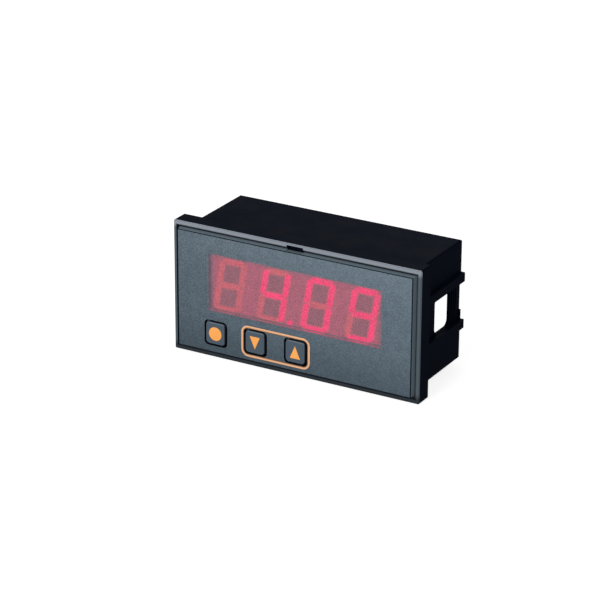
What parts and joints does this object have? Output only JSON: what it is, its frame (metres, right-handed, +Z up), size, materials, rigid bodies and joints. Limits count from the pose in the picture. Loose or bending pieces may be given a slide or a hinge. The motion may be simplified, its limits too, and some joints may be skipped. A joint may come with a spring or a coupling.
{
  "type": "digital panel meter",
  "caption": "Black panel-mount meter with a red seven-segment display, push keys and an open-backed snap-in case with clamp rails, side windows and screw terminals.",
  "frame": {"origin": "centre of the panel cut-out, in the plane of the bezel's rear face, which lies on the panel", "axes": "+X to the right seen from the front, +Y into the panel (the display looks along -Y), +Z up"},
  "size_m": [0.096, 0.0398, 0.048],
  "materials": {
    "case": "fine moulded texture, black",
    "fascia": "fine moulded texture, charcoal",
    "label_film": "grained polyester film, slate grey",
    "filter": "tinted clear acrylic",
    "print_orange": "screen printed ink, orange",
    "key_plastic": "smooth moulded, charcoal",
    "switch_plastic": "moulded, dark grey",
    "plunger_plastic": "moulded, ivory",
    "digit_body": "moulded, grey face behind the tint",
    "segment_dark": "diffusing epoxy, not lit",
    "segment_lit": "diffusing epoxy, lit",
    "board": "glass epoxy laminate, green",
    "chip": "moulded package, black",
    "connector": "moulded, black",
    "contact_metal": "gold-flashed brass",
    "tinned_metal": "tinned",
    "transformer": "potted resin block, black",
    "capacitor": "shrink sleeve, dark blue",
    "relay": "moulded cover, dark grey",
    "terminal_plastic": "moulded polyamide, green",
    "screw_steel": "zinc plated"
  },
  "bodies": {
    "housing": {"case": "case", "fascia": "fascia", "front_label": "label_film", "display_filter": "filter", "key_outline": "print_orange", "switch_body_set": "switch_plastic", "switch_body_down": "switch_plastic", "switch_body_up": "switch_plastic", "digit_1_housing": "digit_body", "digit_2_housing": "digit_body", "digit_3_housing": "digit_body", "digit_4_housing": "digit_body", "digit_1_dark_segments": "segment_dark", "digit_2_dark_segments": "segment_dark", "digit_3_dark_segments": "segment_dark", "digit_4_dark_segments": "segment_dark", "digit_2_lit_segments": "segment_lit", "digit_3_lit_segments": "segment_lit", "digit_4_lit_segments": "segment_lit", "digit_pins": "tinned_metal", "display_board": "board", "controller_chip": "chip", "link_header": "connector", "link_pins": "contact_metal", "link_socket": "connector", "main_board": "board", "board_screws": "screw_steel", "power_transformer": "transformer", "filter_capacitor": "capacitor", "output_relay": "relay", "terminal_block_left": "terminal_plastic", "terminal_block_right": "terminal_plastic", "terminal_pins": "tinned_metal", "terminal_screws": "screw_steel", "terminal_clamps": "tinned_metal", "rear_cover": "case", "cover_screws": "screw_steel"},
    "key_set": {"key_cap_set": "key_plastic", "key_icon_set": "print_orange", "switch_plunger_set": "plunger_plastic"},
    "key_down": {"key_cap_down": "key_plastic", "key_icon_down": "print_orange", "switch_plunger_down": "plunger_plastic"},
    "key_up": {"key_cap_up": "key_plastic", "key_icon_up": "print_orange", "switch_plunger_up": "plunger_plastic"}
  },
  "joints": [
    {"name": "key_set_press", "type": "slide", "parent": "housing", "child": "key_set", "axis": [0, 1, 0], "range_m": [0, 0.0005], "stiffness_N_per_m": 1500, "springref_m": -0.0005},
    {"name": "key_down_press", "type": "slide", "parent": "housing", "child": "key_down", "axis": [0, 1, 0], "range_m": [0, 0.0005], "stiffness_N_per_m": 1500, "springref_m": -0.0005},
    {"name": "key_up_press", "type": "slide", "parent": "housing", "child": "key_up", "axis": [0, 1, 0], "range_m": [0, 0.0005], "stiffness_N_per_m": 1500, "springref_m": -0.0005}
  ]
}
